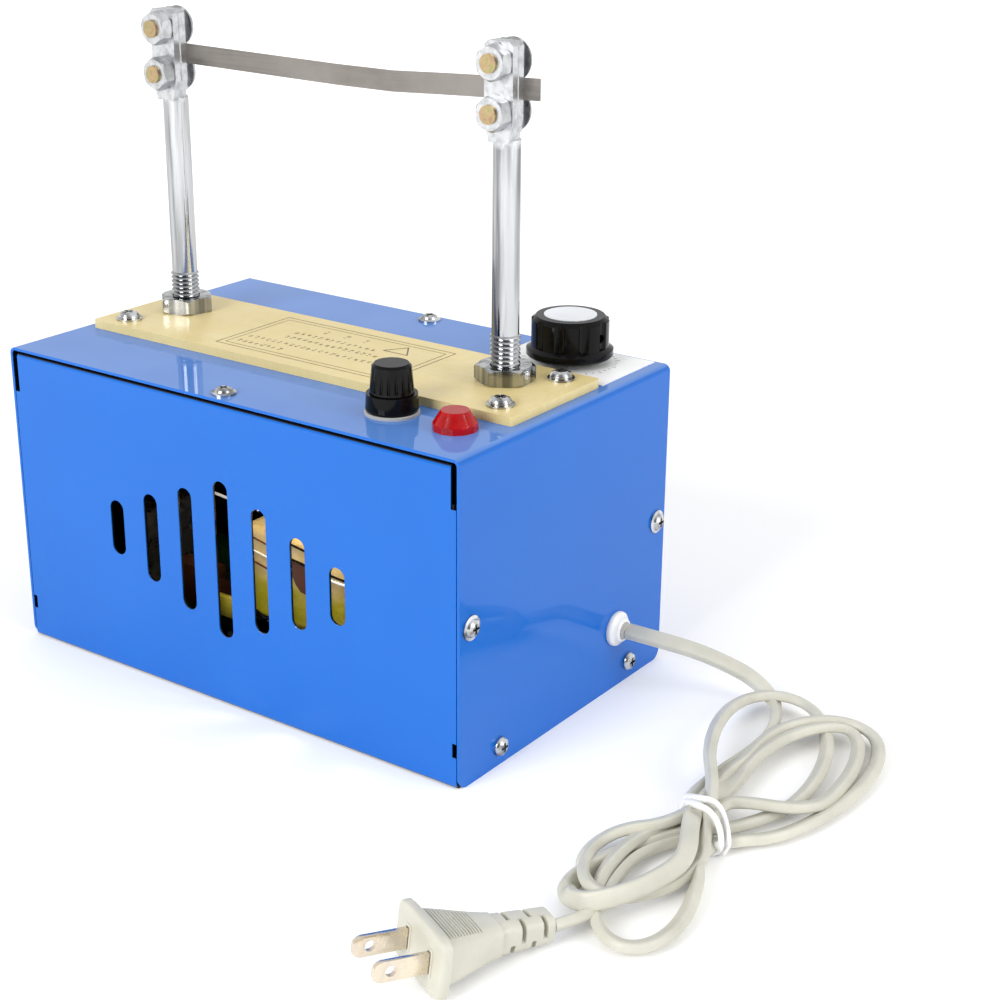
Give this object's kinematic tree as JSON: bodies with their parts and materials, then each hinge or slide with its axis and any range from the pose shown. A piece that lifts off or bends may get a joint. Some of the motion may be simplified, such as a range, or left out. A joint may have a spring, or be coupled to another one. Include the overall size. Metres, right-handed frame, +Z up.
{
  "type": "hot blade ribbon cutter",
  "caption": "Bench hot-blade cutter: a vented blue sheet-steel transformer box with a resistance ribbon stretched between two plated posts, heat knob, fuse, lamp and tied mains cord.",
  "frame": {"origin": "centre of the box's underside, on the bench (bounding box bottom centre without the cord's nodes)", "axes": "+X towards the side that the mains cord leaves, -Y towards the vented front, +Z up"},
  "size_m": [0.3027, 0.2249, 0.2224],
  "materials": {
    "blue_paint": "gloss",
    "bright_plate": "polished",
    "screw_steel": "bright plated",
    "bolt_brass": "satin",
    "plug_brass": "bright",
    "board_fibre": "satin glass-fibre laminate",
    "blade_alloy": "heat-dulled",
    "black_plastic": "gloss",
    "silver_disc": "spun",
    "grey_rubber": "matte",
    "label_film": "satin",
    "shaft_metal": "satin",
    "red_lens": "clear red",
    "lamp_body": "matte",
    "fuse_glass": "clear",
    "fuse_metal": "nickel plated",
    "white_plastic": "satin",
    "cord_grey": "satin",
    "core_steel": "varnished laminations",
    "packer_board": "pressed board",
    "bobbin_nylon": "matte",
    "winding_copper": "enamelled copper",
    "coil_tape": "satin tape",
    "circuit_green": "satin",
    "capacitor_film": "gloss",
    "lead_insulation": "satin"
  },
  "bodies": {
    "body": {"base_tray": "blue_paint", "blade_board": "board_fibre", "board_screws": "screw_steel", "board_washers": "screw_steel", "clamp_bolts": "bolt_brass", "clamp_nuts": "bright_plate", "clamp_plates": "bright_plate", "cord_clamp": "white_plastic", "cord_grommet": "white_plastic", "cord_hank": "cord_grey", "cord_inside": "cord_grey", "cord_lead": "cord_grey", "cord_tail": "cord_grey", "dial_label": "label_film", "dimmer_board": "circuit_green", "dimmer_capacitors": "capacitor_film", "dimmer_choke": "capacitor_film", "dimmer_standoffs": "white_plastic", "dimmer_terminals": "circuit_green", "fuse_holder": "black_plastic", "fuse_holder_nut": "black_plastic", "fuse_washer": "grey_rubber", "heating_blade": "blade_alloy", "indicator_body": "lamp_body", "indicator_lens": "red_lens", "indicator_nut": "screw_steel", "left_post": "bright_plate", "mains_leads": "lead_insulation", "plug_body": "cord_grey", "plug_pins": "plug_brass", "plug_relief": "cord_grey", "post_insulators": "board_fibre", "post_lower_nuts": "bright_plate", "post_nuts": "bright_plate", "potentiometer": "shaft_metal", "potentiometer_nut": "bright_plate", "right_post": "bright_plate", "secondary_leads": "lead_insulation", "secondary_lugs": "screw_steel", "side_screws": "screw_steel", "top_cover": "blue_paint", "top_screws": "screw_steel", "transformer_bobbin": "bobbin_nylon", "transformer_core": "core_steel", "transformer_packers": "packer_board", "transformer_primary": "winding_copper", "transformer_screws": "screw_steel", "transformer_secondary": "winding_copper", "transformer_strap": "screw_steel", "transformer_tape": "coil_tape", "triac": "lamp_body", "triac_heatsink": "shaft_metal", "twist_tie": "white_plastic"},
    "knob": {"control_knob": "black_plastic", "knob_disc": "silver_disc", "knob_set_screw": "screw_steel", "potentiometer_shaft": "shaft_metal"},
    "fuse_carrier": {"fuse_glass": "fuse_glass", "fuse_end_caps": "fuse_metal"},
    "fuse_cap": {"fuse_cap": "black_plastic"}
  },
  "joints": [
    {"name": "knob_turn", "type": "hinge", "parent": "body", "child": "knob", "pos_m": [0.068, 0.0424, 0.11], "axis": [0, 0, 1], "range_deg": [-300, 0]},
    {"name": "fuse_lift", "type": "slide", "parent": "body", "child": "fuse_carrier", "axis": [0, 0, 1], "range_m": [0, 0.034]},
    {"name": "fuse_cap_turn", "type": "hinge", "parent": "fuse_carrier", "child": "fuse_cap", "pos_m": [0.054, -0.037, 0.117], "axis": [0, 0, 1], "range_deg": [0, 60]}
  ]
}
